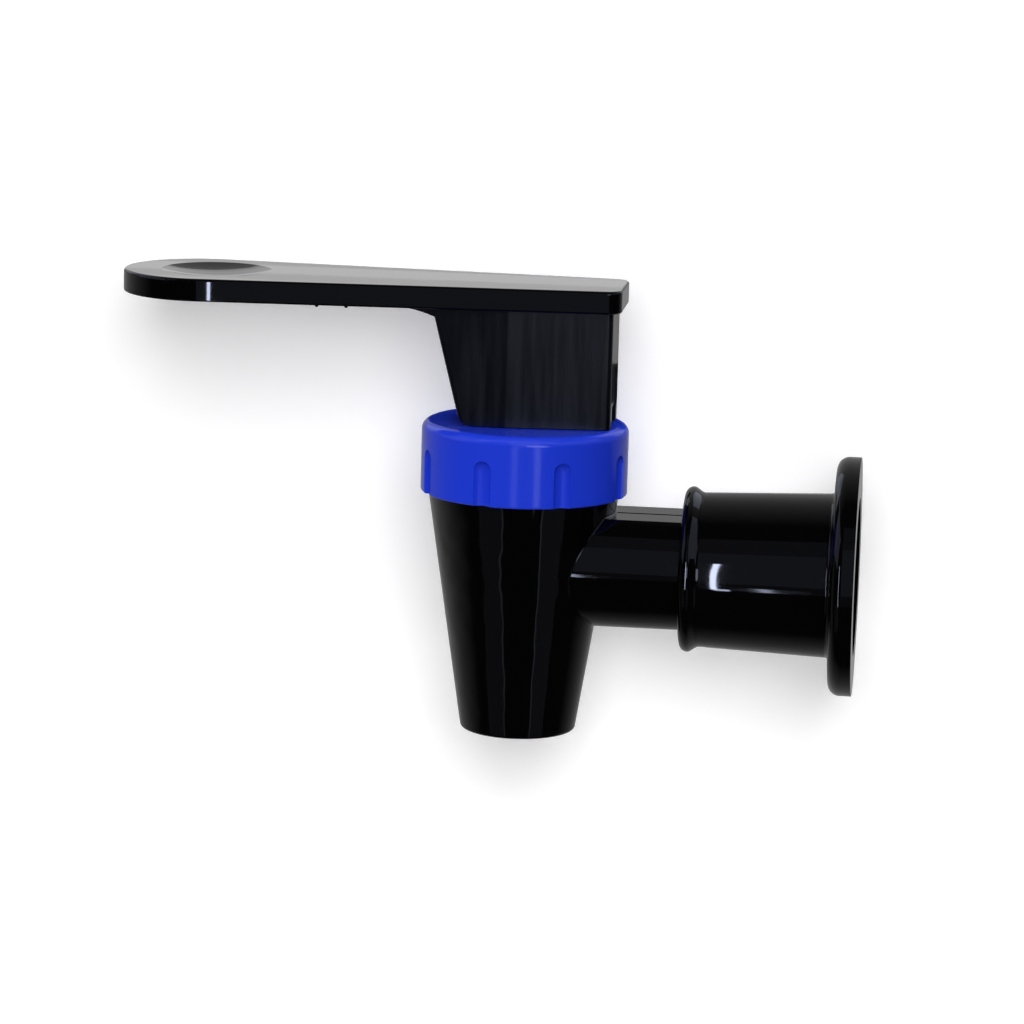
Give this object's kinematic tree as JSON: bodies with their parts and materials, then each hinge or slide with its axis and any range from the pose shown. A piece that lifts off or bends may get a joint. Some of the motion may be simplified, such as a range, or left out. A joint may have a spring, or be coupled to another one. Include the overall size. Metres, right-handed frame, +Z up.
{
  "type": "water cooler faucet",
  "caption": "Push-down water cooler faucet: conical spout, neck and flanged threaded hub in one moulding, notched screw bonnet, and a wide paddle lever that lifts a sprung valve stem.",
  "frame": {"origin": "centre of the locating recess in the flange's back face, where the faucet meets the cooler", "axes": "+X out of the back face towards the cooler, spout at -X, +Z up, +Y to the far side of the picture"},
  "size_m": [0.1158, 0.0372, 0.0706],
  "materials": {
    "black_plastic": "gloss",
    "blue_plastic": "gloss",
    "lever_plastic": "satin",
    "steel": "turned",
    "stem_plastic": "satin",
    "spring_steel": "drawn wire",
    "washer_plastic": "satin",
    "silicone": "matte",
    "black_rubber": "matte"
  },
  "bodies": {
    "faucet": {"faucet_body": "black_plastic", "bonnet": "blue_plastic", "seat_cup": "silicone", "inlet_washer": "black_rubber"},
    "swivel": {"slip_washer": "washer_plastic", "return_spring": "spring_steel"},
    "stem": {"stem": "stem_plastic"},
    "lever": {"lever": "lever_plastic", "lever_pin": "steel"}
  },
  "joints": [
    {"name": "lever_swivel", "type": "hinge", "parent": "faucet", "child": "swivel", "pos_m": [-0.0523, 0, 0.0198], "axis": [0, 0, 1], "continuous": true},
    {"name": "stem_lift", "type": "slide", "parent": "swivel", "child": "stem", "axis": [0, 0, 1], "range_m": [0, 0.00265], "deforming": ["return_spring", "seat_cup"]},
    {"name": "lever_tilt", "type": "hinge", "parent": "stem", "child": "lever", "pos_m": [-0.0523, 0, 0.0275], "axis": [0, -1, 0], "range_deg": [0, 20], "stiffness_Nm_per_rad": 0.0866, "springref_deg": -30.14}
  ],
  "couplings": [
    {"joint": "lever_tilt", "follows": "stem_lift", "rad_per_m": 131.58}
  ]
}
